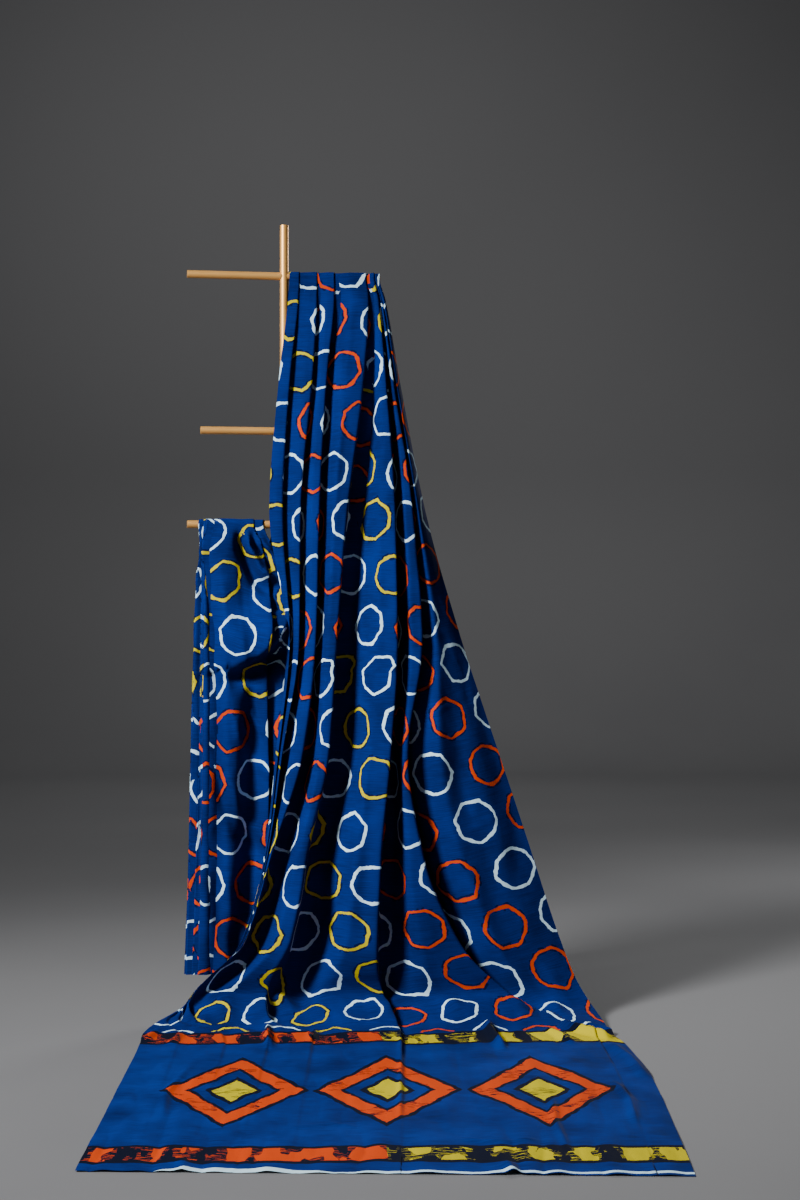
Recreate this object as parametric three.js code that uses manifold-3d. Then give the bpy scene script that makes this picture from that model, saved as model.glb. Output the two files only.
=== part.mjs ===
// A saree of printed cotton draped on a gold display stand.
//
// Millimetres, +Z up. The pole's axis meets the floor at the origin, X runs along the cloth's
// width and -Y points to the front, where the end of the saree lies spread on the floor.
// The cloth is one length of 1180 mm wide fabric. From that end it rises as a pleated fan to the
// right arm of the top bar, turns over it, falls behind, loops up to the left arm of the lower
// bar, turns over that and hangs down in front. Each stretch is a solid of its own.

import * as THREE from 'three';
import { mergeVertices } from 'three/addons/utils/BufferGeometryUtils.js';
import Module from 'manifold-3d';

const wasm = await Module();
wasm.setup();

// ---------------------------------------------------------------- driving dimensions

const SEAM = 0.3;               // gap between pieces that meet
const WALL = 1.2;               // thickness of the cloth's wall
const STEPS_PER_SLOPE = 3;      // facets from the bottom of a fold to its ridge
const STEPS_PER_SECTION = 2;    // facets from one section of a table to the next
const PLAIN_STEPS = 1;          // the same behind, where nothing shows
const TURN_STEPS = 5;           // facets over a bar

const YAW = THREE.MathUtils.degToRad(8.8);      // the bars' turn about the pole
const BAR_RADIUS = 10;
const POLE_RADIUS = 11;
const POLE_TOP = 2040;
const BASE = { radius: 125, thickness: 8, edge: 1.5 };
const BARS = [
  { name: 'top', height: 1908, reach: 250 },
  { name: 'middle', height: 1507, reach: 216 },
  { name: 'lower', height: 1265, reach: 250 },
];
const [TOP_BAR, , LOWER_BAR] = BARS;

// The pleats from left to right: how wide the valley after each ridge is, as a share of the way
// to the next ridge, and how far the ridge stands out, as a share of the section's depth.
const FAN = {
  leftLift: 0.15,
  rightLift: 0.1,
  pleats: [
    { name: 'edge', valley: 0.35, lift: 0.4 },
    { name: 'thumb', valley: 0.35, lift: 0.5 },
    { name: 'second', valley: 0.35, lift: 0.65 },
    { name: 'lead', valley: 0.3, lift: 0.8 },
    { name: 'middle', valley: 0.25, lift: 1 },
    { name: 'outer', valley: 0.1, lift: 0.8 },
  ],
};
const FALL = {
  leftLift: 0.4,
  rightLift: 0.1,
  pleats: [
    { name: 'outside', valley: 0.4, lift: 0.8 },
    { name: 'inside', valley: 0.4, lift: 0.7 },
    { name: 'panel', valley: 0.15, lift: 0.75 },
    { name: 'cowl', valley: 0.35, lift: 1 },
  ],
};

// A row for each section of the cloth. "left" and "right" are the X of its selvedges and the
// pleats' columns the X of their ridges. The line under the folds runs from leftY to rightY at
// the height z. The folds stand out from it by the depth, to the front with a turn of 0, up with
// 90 and to the back with 180.
const PALLU = [
  { z: 0, leftY: -1440, rightY: -1471, turn: 90, depth: 1,
    left: -308, edge: -210, thumb: -105, second: -12, lead: 92, middle: 300, outer: 780, right: 849 },
  { z: 0, leftY: -720, rightY: -722, turn: 90, depth: 4,
    left: -318, edge: -225, thumb: -114, second: -15, lead: 89, middle: 303, outer: 792, right: 864 },
  { z: 0, leftY: -374, rightY: -372, turn: 90, depth: 10,
    left: -325, edge: -235, thumb: -122, second: -17, lead: 87, middle: 303, outer: 783, right: 842 },
];
const FRONT_FALL = [
  { z: 0, leftY: -374, rightY: -372, turn: 90, depth: 10,
    left: -325, edge: -235, thumb: -122, second: -17, lead: 87, middle: 303, outer: 783, right: 842 },
  { z: 0, leftY: -262, rightY: -262, turn: 90, depth: 12,
    left: -332, edge: -245, thumb: -140, second: -40, lead: 75, middle: 300, outer: 765, right: 821 },
  { z: 10, leftY: -160, rightY: -165, turn: 85, depth: 22,
    left: -306, edge: -236, thumb: -160, second: -85, lead: 0, middle: 285, outer: 690, right: 808 },
  { z: 28, leftY: -98, rightY: -84, turn: 68, depth: 46,
    left: -255, edge: -215, thumb: -178, second: -138, lead: -95, middle: 260, outer: 590, right: 788 },
  { z: 80, leftY: -76, rightY: -42, turn: 35, depth: 85,
    left: -205, edge: -192, thumb: -172, second: -148, lead: -122, middle: 243, outer: 520, right: 755 },
  { z: 200, leftY: -70, rightY: -16, turn: 10, depth: 112,
    left: -105, edge: -92, thumb: -78, second: -62, lead: -45, middle: 238, outer: 440, right: 708 },
  { z: 420, leftY: -62, rightY: 2, turn: 0, depth: 125,
    left: -48, edge: -30, thumb: -12, second: 10, lead: 38, middle: 243, outer: 352, right: 637 },
  { z: 680, leftY: -56, rightY: 17, turn: 0, depth: 115,
    left: -19, edge: 2, thumb: 22, second: 60, lead: 108, middle: 264, outer: 310, right: 551 },
  { z: 970, leftY: -50, rightY: 28, turn: 0, depth: 94,
    left: 8, edge: 20, thumb: 42, second: 78, lead: 129, middle: 279, outer: 345, right: 455 },
  { z: 1300, leftY: -34, rightY: 30, turn: 0, depth: 70,
    left: -37, edge: -3, thumb: 41, second: 88, lead: 158, middle: 278, outer: 325, right: 364 },
  { z: 1640, leftY: -16, rightY: 28, turn: 0, depth: 42,
    left: -13, edge: 15, thumb: 72, second: 108, lead: 202, middle: 259, outer: 280, right: 299 },
  { z: 1850, leftY: -12, rightY: 27, turn: 0, depth: 12,
    left: 11, edge: 38, thumb: 85, second: 129, lead: 217, middle: 243, outer: 252, right: 262 },
];
const TOP_TURN = {
  depth: 4, left: 14, edge: 41, thumb: 86, second: 130, lead: 212, middle: 234, outer: 240, right: 247,
};
const BACK_FALL = [
  { z: 1850, leftY: 15, rightY: 51, turn: 180, depth: 7,
    left: 12, edge: 38, thumb: 84, second: 128, lead: 208, middle: 230, outer: 237, right: 246 },
  { z: 1600, leftY: 17, rightY: 52, turn: 180, depth: 14,
    left: -8, edge: 24, thumb: 66, second: 106, lead: 160, middle: 190, outer: 204, right: 218 },
  { z: 1300, leftY: 20, rightY: 50, turn: 180, depth: 16,
    left: -25, edge: 8, thumb: 40, second: 74, lead: 112, middle: 140, outer: 160, right: 180 },
  { z: 1100, leftY: 32, rightY: 46, turn: 165, depth: 12,
    left: -75, edge: -42, thumb: -10, second: 24, lead: 60, middle: 86, outer: 104, right: 124 },
  { z: 1002, leftY: 50, rightY: 52, turn: 135, depth: 5,
    left: -112, edge: -82, thumb: -53, second: -20, lead: 12, middle: 38, outer: 54, right: 72 },
  { z: 992, leftY: 62, rightY: 63, turn: 115, depth: 2,
    left: -122, edge: -92, thumb: -63, second: -31, lead: 1, middle: 27, outer: 43, right: 60 },
  { z: 990, leftY: 75, rightY: 75, turn: 90, depth: 1,
    left: -130, edge: -100, thumb: -72, second: -40, lead: -8, middle: 18, outer: 34, right: 50 },
];
const LOOP = [
  { z: 990, leftY: 75, rightY: 75, turn: 270, depth: 1,
    left: -130, outside: -100, inside: -68, panel: -20, cowl: 20, right: 50 },
  { z: 993, leftY: 88, rightY: 88, turn: 245, depth: 2,
    left: -140, outside: -110, inside: -78, panel: -30, cowl: 10, right: 40 },
  { z: 1005, leftY: 99, rightY: 100, turn: 225, depth: 4,
    left: -152, outside: -120, inside: -89, panel: -40, cowl: 0, right: 30 },
  { z: 1090, leftY: 104, rightY: 108, turn: 185, depth: 10,
    left: -190, outside: -160, inside: -130, panel: -80, cowl: -40, right: -10 },
  { z: 1210, leftY: 62, rightY: 74, turn: 155, depth: 10,
    left: -222, outside: -198, inside: -170, panel: -110, cowl: -70, right: -42 },
];
const LOWER_TURN = { depth: 4, left: -220, outside: -206, inside: -190, panel: -120, cowl: -75, right: -50 };
const LEFT_FALL = [
  { z: 1215, leftY: -49, rightY: -22, turn: 0, depth: 12,
    left: -217, outside: -211, inside: -204, panel: -120, cowl: -55, right: -30 },
  { z: 1120, leftY: -50, rightY: -20, turn: 0, depth: 26,
    left: -227, outside: -214, inside: -197, panel: -112, cowl: -36, right: -6 },
  { z: 1010, leftY: -51, rightY: -18, turn: 0, depth: 42,
    left: -232, outside: -216, inside: -191, panel: -100, cowl: -30, right: 12 },
  { z: 900, leftY: -52, rightY: -18, turn: 0, depth: 32,
    left: -235, outside: -217, inside: -189, panel: -90, cowl: -40, right: 14 },
  { z: 600, leftY: -53, rightY: -18, turn: 0, depth: 30,
    left: -242, outside: -222, inside: -187, panel: -90, cowl: -35, right: 10 },
  { z: 112, leftY: -55, rightY: -18, turn: 0, depth: 32,
    left: -256, outside: -238, inside: -188, panel: -100, cowl: -45, right: 6 },
];

// ---------------------------------------------------------------- materials

const FINISHES = {
  gold: { color: 0xc9954c, roughness: 0.38, metalness: 0.9 },
  cotton: { color: 0x0f3f86, roughness: 0.85, metalness: 0 },
};

const group = new THREE.Group();

function addPiece(name, geometry, finish) {
  const material = new THREE.MeshStandardMaterial({ ...FINISHES[finish], name: finish });
  const mesh = new THREE.Mesh(geometry, material);
  mesh.name = name;
  group.add(mesh);
  return mesh;
}

// ---------------------------------------------------------------- solids and cuts

function toSolid(geometry) {
  const bare = geometry.clone();
  bare.deleteAttribute('normal');
  bare.deleteAttribute('uv');
  const merged = mergeVertices(bare, 1e-4);
  return new wasm.Manifold(new wasm.Mesh({
    numProp: 3,
    vertProperties: new Float32Array(merged.attributes.position.array),
    triVerts: new Uint32Array(merged.index.array),
  }));
}

function toGeometry(solid) {
  const mesh = solid.getMesh();
  const geometry = new THREE.BufferGeometry();
  geometry.setAttribute('position', new THREE.BufferAttribute(new Float32Array(mesh.vertProperties), 3));
  geometry.setIndex(new THREE.BufferAttribute(new Uint32Array(mesh.triVerts), 1));
  geometry.computeVertexNormals();
  return geometry;
}

// ---------------------------------------------------------------- the stand

function addStand() {
  const rim = BASE.thickness - BASE.edge;
  const plate = new THREE.LatheGeometry([
    new THREE.Vector2(0, 0),
    new THREE.Vector2(BASE.radius, 0),
    new THREE.Vector2(BASE.radius, rim),
    new THREE.Vector2(BASE.radius - BASE.edge, BASE.thickness),
    new THREE.Vector2(0, BASE.thickness),
  ], 64);
  plate.rotateX(Math.PI / 2);
  addPiece('base', plate, 'gold');

  const poleFoot = BASE.thickness + SEAM;
  const pole = new THREE.CylinderGeometry(POLE_RADIUS, POLE_RADIUS, POLE_TOP - poleFoot, 48);
  pole.rotateX(Math.PI / 2);
  pole.translate(0, 0, (POLE_TOP + poleFoot) / 2);
  addPiece('pole', pole, 'gold');

  for (const bar of BARS) {
    addArm(`${bar.name}_bar_left`, bar, -1);
    addArm(`${bar.name}_bar_right`, bar, 1);
  }
}

// An arm's inner end is coped to the pole's round.
function addArm(name, bar, side) {
  const rod = new THREE.CylinderGeometry(BAR_RADIUS, BAR_RADIUS, bar.reach, 32);
  rod.rotateZ(Math.PI / 2);
  rod.translate(side * bar.reach / 2, 0, 0);
  const round = POLE_RADIUS + SEAM;
  const cope = new THREE.CylinderGeometry(round, round, BAR_RADIUS * 4, 64);
  cope.rotateX(Math.PI / 2);
  const arm = addPiece(name, toGeometry(toSolid(rod).subtract(toSolid(cope))), 'gold');
  arm.rotation.z = YAW;
  arm.position.z = bar.height;
}

// ---------------------------------------------------------------- sections of the cloth

// The columns that a section has beside those of its pleats.
const PLACES = ['z', 'leftY', 'rightY', 'turn', 'depth', 'left', 'right'];

function columnsOf(style) {
  return [...PLACES, ...style.pleats.map((pleat) => pleat.name)];
}

// Slopes that carry a column smoothly from row to row with no overshoot.
function slopes(values, stations) {
  const last = values.length - 1;
  const rise = (k) => (values[k + 1] - values[k]) / (stations[k + 1] - stations[k]);
  return values.map((_, k) => {
    if (k === 0) return rise(0);
    if (k === last) return rise(last - 1);
    const before = rise(k - 1);
    const after = rise(k);
    return before * after <= 0 ? 0 : (2 * before * after) / (before + after);
  });
}

// The table's rows with a number of smooth steps between each two.
function fillSections(rows, style, steps = STEPS_PER_SECTION) {
  const stations = [0];
  for (let k = 1; k < rows.length; k += 1) {
    const climb = rows[k].z - rows[k - 1].z;
    const advance = (rows[k].leftY + rows[k].rightY - rows[k - 1].leftY - rows[k - 1].rightY) / 2;
    stations.push(stations[k - 1] + Math.hypot(climb, advance));
  }
  const filled = [];
  const columns = columnsOf(style).map((name) => {
    const values = rows.map((row) => row[name]);
    return { name, values, tangents: slopes(values, stations) };
  });
  for (let k = 0; k < rows.length - 1; k += 1) {
    const span = stations[k + 1] - stations[k];
    for (let step = 0; step < steps; step += 1) {
      const u = step / steps;
      const row = {};
      for (const { name, values, tangents } of columns) {
        const ease = u * u * (3 - 2 * u);
        const bend = span * (u * (1 - u) ** 2 * tangents[k] - u * u * (1 - u) * tangents[k + 1]);
        row[name] = values[k] + (values[k + 1] - values[k]) * ease + bend;
      }
      filled.push(row);
    }
  }
  filled.push(rows.at(-1));
  return filled;
}

// The ridges and valleys of a section, as X and the share of the depth.
function foldCorners(row, style) {
  const corners = [{ x: row.left, lift: style.leftLift }];
  style.pleats.forEach((pleat, k) => {
    const next = k + 1 < style.pleats.length ? row[style.pleats[k + 1].name] : row.right;
    const ridge = row[pleat.name];
    corners.push({ x: ridge, lift: pleat.lift });
    corners.push({ x: ridge + (next - ridge) * pleat.valley, lift: 0 });
  });
  corners.push({ x: row.right, lift: style.rightLift });
  return corners;
}

// The middle of the wall along a section, from its left selvedge to its right one.
function sectionPoints(row, style) {
  const left = new THREE.Vector3(row.left, row.leftY, row.z);
  const right = new THREE.Vector3(row.right, row.rightY, row.z);
  const along = new THREE.Vector3().subVectors(right, left);
  const turn = THREE.MathUtils.degToRad(row.turn);
  const level = new THREE.Vector3(along.y, -along.x, 0).normalize();
  const outward = level.multiplyScalar(Math.cos(turn)).setZ(Math.sin(turn));
  const corners = foldCorners(row, style);
  const points = [];
  for (let k = 0; k < corners.length - 1; k += 1) {
    const from = corners[k];
    const to = corners[k + 1];
    for (let step = 0; step <= STEPS_PER_SLOPE; step += 1) {
      if (step === STEPS_PER_SLOPE && k < corners.length - 2) break;
      const u = step / STEPS_PER_SLOPE;
      const x = from.x + (to.x - from.x) * u;
      const lift = from.lift + (to.lift - from.lift) * u * u * (3 - 2 * u);
      const share = (x - row.left) / (row.right - row.left);
      const stand = WALL / 2 + row.depth * lift;
      points.push(left.clone().addScaledVector(along, share).addScaledVector(outward, stand));
    }
  }
  return points;
}

// Sections that wrap a bar from its front, over the top and to its back.
function turnSections(bar, columns, fromTurn, toTurn) {
  const facet = THREE.MathUtils.degToRad((toTurn - fromTurn) / TURN_STEPS);
  const reach = (BAR_RADIUS + SEAM) / Math.cos(facet / 2);
  return Array.from({ length: TURN_STEPS + 1 }, (_, step) => {
    const turn = fromTurn + (toTurn - fromTurn) * step / TURN_STEPS;
    const radians = THREE.MathUtils.degToRad(turn);
    const ahead = -reach * Math.cos(radians) / Math.cos(YAW);
    return {
      ...columns,
      turn,
      z: bar.height + reach * Math.sin(radians),
      leftY: columns.left * Math.tan(YAW) + ahead,
      rightY: columns.right * Math.tan(YAW) + ahead,
    };
  });
}

// ---------------------------------------------------------------- cloth solids

// A wall on a grid of points: two skins, half a wall to each side, closed along the four edges.
function clothWall(grid) {
  const rows = grid.length;
  const columns = grid[0].length;
  const positions = [];
  const side = new THREE.Vector3();
  const ahead = new THREE.Vector3();
  for (const facing of [1, -1]) {
    for (let i = 0; i < rows; i += 1) {
      for (let j = 0; j < columns; j += 1) {
        side.subVectors(grid[i][Math.min(j + 1, columns - 1)], grid[i][Math.max(j - 1, 0)]);
        ahead.subVectors(grid[Math.min(i + 1, rows - 1)][j], grid[Math.max(i - 1, 0)][j]);
        const normal = side.clone().cross(ahead).normalize();
        positions.push(...grid[i][j].clone().addScaledVector(normal, facing * WALL / 2));
      }
    }
  }
  const triangles = [];
  const skin = rows * columns;
  const quad = (a, b, c, d) => triangles.push(a, b, c, a, c, d);
  for (let i = 0; i < rows - 1; i += 1) {
    for (let j = 0; j < columns - 1; j += 1) {
      const a = i * columns + j;
      quad(a, a + 1, a + columns + 1, a + columns);
      quad(skin + a, skin + a + columns, skin + a + columns + 1, skin + a + 1);
    }
  }
  for (let j = 0; j < columns - 1; j += 1) {
    const far = (rows - 1) * columns + j;
    quad(skin + j, skin + j + 1, j + 1, j);
    quad(far, far + 1, skin + far + 1, skin + far);
  }
  for (let i = 0; i < rows - 1; i += 1) {
    const near = i * columns;
    const far = near + columns - 1;
    quad(near, near + columns, skin + near + columns, skin + near);
    quad(skin + far, skin + far + columns, far + columns, far);
  }
  const geometry = new THREE.BufferGeometry();
  geometry.setAttribute('position', new THREE.Float32BufferAttribute(positions, 3));
  geometry.setIndex(triangles);
  geometry.computeVertexNormals();
  return geometry;
}

// Draws the first and last row of a grid back by half a seam, so that two stretches just part.
function trimSeams(grid) {
  const drawBack = (row, inner) => row.map((point, j) => {
    const step = new THREE.Vector3().subVectors(inner[j], point);
    return point.clone().addScaledVector(step.normalize(), SEAM / 2);
  });
  return [drawBack(grid[0], grid[1]), ...grid.slice(1, -1), drawBack(grid.at(-1), grid.at(-2))];
}

function addStretch(name, sections, style) {
  const grid = sections.map((row) => sectionPoints(row, style));
  addPiece(name, clothWall(trimSeams(grid)), 'cotton');
}

function addSaree() {
  const overTop = turnSections(TOP_BAR, TOP_TURN, 0, 180);
  const overLower = turnSections(LOWER_BAR, LOWER_TURN, 155, 0);
  addStretch('pallu', fillSections(PALLU, FAN), FAN);
  addStretch('front_fall', fillSections([...FRONT_FALL, overTop[0]], FAN), FAN);
  addStretch('top_turn', overTop, FAN);
  addStretch('back_fall', fillSections([overTop.at(-1), ...BACK_FALL], FAN, PLAIN_STEPS), FAN);
  addStretch('loop', fillSections([...LOOP, overLower[0]], FALL, PLAIN_STEPS), FALL);
  addStretch('lower_turn', overLower, FALL);
  addStretch('left_fall', fillSections([overLower.at(-1), ...LEFT_FALL], FALL), FALL);
}

addStand();
addSaree();

export default group;
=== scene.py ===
# %% [markdown]
# # A printed cotton saree on a gold display stand
#
# The CAD model gives the stand and a plain wall for each stretch of the cloth. This notebook
# keeps the stand as it is, gives it a lacquer, and lays one real length of cloth over it: every
# section holds the full 1.18 m of width, so the pleats swallow cloth and cut the print as real
# ones do.

# %% Load the frame
import math
from collections import namedtuple

import bpy
import numpy as np
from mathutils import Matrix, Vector


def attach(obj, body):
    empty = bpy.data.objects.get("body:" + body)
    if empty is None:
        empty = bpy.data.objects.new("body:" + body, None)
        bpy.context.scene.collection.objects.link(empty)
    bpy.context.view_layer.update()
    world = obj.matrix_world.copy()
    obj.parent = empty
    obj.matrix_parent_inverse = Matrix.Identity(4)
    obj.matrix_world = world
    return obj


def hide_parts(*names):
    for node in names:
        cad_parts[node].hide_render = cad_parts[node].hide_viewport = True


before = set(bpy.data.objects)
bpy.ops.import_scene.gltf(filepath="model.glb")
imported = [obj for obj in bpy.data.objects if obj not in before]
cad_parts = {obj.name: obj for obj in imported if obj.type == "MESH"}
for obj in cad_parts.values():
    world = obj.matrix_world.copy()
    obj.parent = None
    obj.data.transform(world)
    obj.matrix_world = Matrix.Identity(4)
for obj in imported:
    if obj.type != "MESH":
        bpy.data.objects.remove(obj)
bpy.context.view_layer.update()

# %% [markdown]
# ## Sizes
#
# Metres, +Z up, with the pole's foot at the origin. The cloth is one 1.18 m wide length. The
# printed rings stand in rows, nine across, and each row is shifted by half a pitch.

# %% Sizes
CLOTH_WIDTH = 1.18
ACROSS = 320                 # steps from selvedge to selvedge
STEP_ALONG = 0.0075          # from one section to the next, along the drape
BAR_RADIUS = 0.010
BAR_CLEAR = 0.0004           # how far the cloth lies off the bar
REST = 0.0008                # how far the cloth lies over the floor and its table's line
YAW = math.radians(8.8)      # how far the stand is turned, its right arms to the back
TOP_BAR_HEIGHT = 1.908
LOWER_BAR_HEIGHT = 1.265
STRIPE = 0.12                # width of the two painted stripes
PLAIN_FIELD = 0.89           # between the stripes
RINGS_ACROSS = 9
RING_PITCH = CLOTH_WIDTH / RINGS_ACROSS
ROW_PITCH = 0.134
print("rings stand", round(RING_PITCH, 3), "m apart")

# %% [markdown]
# ## How a section of the drape is written down
#
# A table has a row for each section. `left` and `right` are the X of the outermost edges,
# `left_y` and `right_y` their Y, and the pleats' columns the X of their ridges. `depth` is how
# far the folds stand out from the line between the edges, and `turn` says which way: 0 to the
# front, 90 up, 180 to the back. Between the rows every column runs smoothly, as in the solids.
#
# A real pleat also hides cloth: behind each ridge it runs back under its own face and out again.
# How much of it goes there is solved, so that each section is as long as the cloth is wide. The
# table only says how it is shared out, with the lead pleat's share in `lead_tuck`, and how wide
# the valleys after the lead and the middle pleat are.

# %% The fan's sections
Fan = namedtuple("Fan", "z left_y right_y turn depth lead_gap lead_tuck middle_gap "
                        "left edge thumb second lead middle outer right")
PALLU = (
    Fan(0.000, -1.4400, -1.4710, 90, .001, .03, .12, .03,
        -.308, -.210, -.105, -.012, .092, .300, .780, .849),
    Fan(0.000, -0.7200, -0.7220, 90, .003, .03, .12, .03,
        -.318, -.225, -.114, -.015, .089, .303, .792, .864),
    Fan(0.000, -0.3740, -0.3720, 90, .007, .03, .12, .03,
        -.325, -.235, -.122, -.017, .087, .303, .783, .842),
)
FRONT_FALL = (
    Fan(0.000, -0.262, -0.262, 90, .010, .03, .12, .03,
        -.332, -.245, -.140, -.040, .075, .300, .765, .821),
    Fan(0.010, -0.160, -0.165, 85, .022, .03, .12, .03,
        -.306, -.285, -.255, -.215, -.030, .285, .690, .808),
    Fan(0.028, -0.098, -0.084, 68, .046, .04, .12, .03,
        -.255, -.250, -.244, -.236, -.040, .260, .590, .788),
    Fan(0.080, -0.076, -0.042, 35, .085, .05, .12, .03,
        -.205, -.202, -.198, -.192, -.022, .243, .520, .755),
    Fan(0.200, -0.070, -0.016, 10, .112, .06, .12, .04,
        -.105, -.103, -.100, -.096, .022, .238, .440, .708),
    Fan(0.420, -0.062, 0.002, 0, .125, .055, .10, .04,
        -.048, -.045, -.041, -.034, .058, .243, .352, .637),
    Fan(0.680, -0.056, 0.017, 0, .115, .055, .070, .025,
        -.019, -.013, -.005, .046, .110, .264, .310, .551),
    Fan(0.970, -0.050, 0.028, 0, .094, .050, .100, .012,
        .008, .014, .037, .078, .129, .279, .345, .455),
    Fan(1.300, -0.034, 0.030, 0, .070, .046, .015, .010,
        -.037, -.003, .041, .088, .158, .278, .325, .364),
    Fan(1.640, -0.016, 0.028, 0, .042, .027, .045, .006,
        -.013, .015, .072, .108, .202, .259, .280, .299),
    Fan(1.850, -0.012, 0.027, 0, .013, .012, .07, .003,
        .011, .038, .085, .129, .217, .243, .252, .262),
)
# The row on the bar. Its place and turn are worked out below, for each step round the bar.
TOP_TURN = Fan(0, 0, 0, 0, .0045, .006, .07, .002,
               .014, .041, .086, .130, .212, .234, .240, .247)
BACK_FALL = (
    Fan(1.850, 0.015, 0.051, 180, .007, .006, .07, .006,
        .012, .038, .084, .128, .208, .230, .237, .246),
    Fan(1.600, 0.017, 0.052, 180, .014, .010, .12, .006,
        -.008, .024, .066, .106, .160, .190, .204, .218),
    Fan(1.300, 0.020, 0.050, 180, .016, .010, .015, .008,
        -.025, .008, .040, .074, .112, .140, .160, .180),
    Fan(1.100, 0.032, 0.046, 165, .012, .008, .12, .006,
        -.075, -.042, -.010, .024, .060, .086, .104, .124),
    Fan(1.002, 0.050, 0.052, 135, .005, .008, .12, .006,
        -.112, -.082, -.053, -.020, .012, .038, .054, .072),
    Fan(0.990, 0.075, 0.075, 90, .002, .008, .12, .006,
        -.130, -.100, -.072, -.040, -.008, .018, .034, .050),
)

# %% The short end's sections
# stack is how much of the hidden cloth lies in the stack at the left; the rest is at the right.
End = namedtuple("End", "z left_y right_y turn depth stack left outside inside panel cowl right")
LOOP = (
    End(0.990, 0.075, 0.075, 270, .002, 1.0, -.130, -.100, -.068, -.020, .020, .050),
    End(1.005, 0.099, 0.100, 225, .004, 1.0, -.152, -.120, -.089, -.040, .000, .030),
    End(1.090, 0.104, 0.108, 185, .010, 1.0, -.190, -.160, -.130, -.080, -.040, -.010),
    End(1.210, 0.062, 0.074, 155, .010, 0.98, -.222, -.198, -.170, -.110, -.070, -.042),
)
LOWER_TURN = End(0, 0, 0, 0, .0045, 0.98, -.220, -.206, -.190, -.120, -.075, -.050)
LEFT_FALL = (
    End(1.215, -0.049, -0.022, 0, .013, 1.02, -.217, -.211, -.204, -.120, -.055, -.030),
    End(1.120, -0.050, -0.020, 0, .028, 1.12, -.227, -.214, -.197, -.112, -.036, -.006),
    End(1.010, -0.051, -0.018, 0, .038, 1.19, -.232, -.216, -.191, -.100, -.030, .012),
    End(0.900, -0.052, -0.018, 0, .034, 1.23, -.235, -.217, -.189, -.090, -.040, .014),
    End(0.600, -0.053, -0.018, 0, .030, 1.24, -.242, -.222, -.187, -.090, -.035, .010),
    End(0.350, -0.054, -0.018, 0, .030, 1.24, -.248, -.230, -.187, -.095, -.040, .006),
    End(0.112, -0.055, -0.018, 0, .032, 1.24, -.256, -.238, -.188, -.100, -.045, .006),
)
print("sections:", sum(map(len, (PALLU, FRONT_FALL, BACK_FALL, LOOP, LEFT_FALL))))

# %% Sections that turn over a bar
def over_bar(height, columns, from_turn, to_turn, step=15):
    """Rows that wrap a bar, from from_turn to to_turn degrees."""
    rows = []
    count = round(abs(to_turn - from_turn) / step)
    reach = BAR_RADIUS + BAR_CLEAR
    for turn in np.linspace(from_turn, to_turn, count + 1):
        ahead = -reach * math.cos(math.radians(turn)) / math.cos(YAW)
        rows.append(columns._replace(
            turn=turn,
            z=height + reach * math.sin(math.radians(turn)),
            left_y=columns.left * math.tan(YAW) + ahead,
            right_y=columns.right * math.tan(YAW) + ahead,
        ))
    return tuple(rows)


over_top = over_bar(TOP_BAR_HEIGHT, TOP_TURN, 0, 180)
over_lower = over_bar(LOWER_BAR_HEIGHT, LOWER_TURN, 150, 0)
print("rows over the bars:", len(over_top), len(over_lower))

# %% Fill in between the sections
def ease(share):
    """Goes smoothly from 0 to 1 with the share."""
    return share * share * (3 - 2 * share)


def fade_in(values):
    """0 below 0, 1 above 1 and smooth between them."""
    return ease(np.clip(values, 0, 1))


def run_of(points):
    """How far each point of a line is from its start, along the line."""
    return np.concatenate([[0], np.cumsum(np.linalg.norm(np.diff(points, axis=0), axis=1))])


def smooth_columns(rows):
    """Distances of the rows along the drape and a function that gives the row at any distance."""
    kind = type(rows[0])
    values = np.array(rows, float)
    at = run_of(np.stack([(values[:, 1] + values[:, 2]) / 2, values[:, 0]], 1))
    rise = np.diff(values, axis=0) / np.diff(at)[:, None]
    slope = np.vstack([rise[:1], np.zeros_like(rise[1:]), rise[-1:]])
    before, after = rise[:-1], rise[1:]
    same = before * after > 0
    slope[1:-1][same] = 2 * before[same] * after[same] / (before[same] + after[same])

    def row_at_distance(s):
        k = min(int(np.searchsorted(at, s, side="right")) - 1, len(at) - 2)
        span = at[k + 1] - at[k]
        u = (s - at[k]) / span
        bend = span * (u * (1 - u) ** 2 * slope[k] - u * u * (1 - u) * slope[k + 1])
        return kind(*(values[k] + (values[k + 1] - values[k]) * ease(u) + bend))

    return at, row_at_distance


# %% [markdown]
# ## The pleats
#
# The fan was laid in pleats that all face right: each ridge hides a tuck that runs back to the
# left. Its shape is a broad face that climbs to the ridge, a drop behind the ridge, the hidden
# tuck, and the way out again under the valley to the foot of the next face. It drops before it
# runs back, which keeps most of the hidden layer behind its own face. The short end is stacked
# the other way at its left side: folded edges lie behind each other there, and their layers run
# to the right behind the broad face.

# %% Corners of a section
Pleat = namedtuple("Pleat", "column tuck gap foot crest_at crest ridge")
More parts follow.
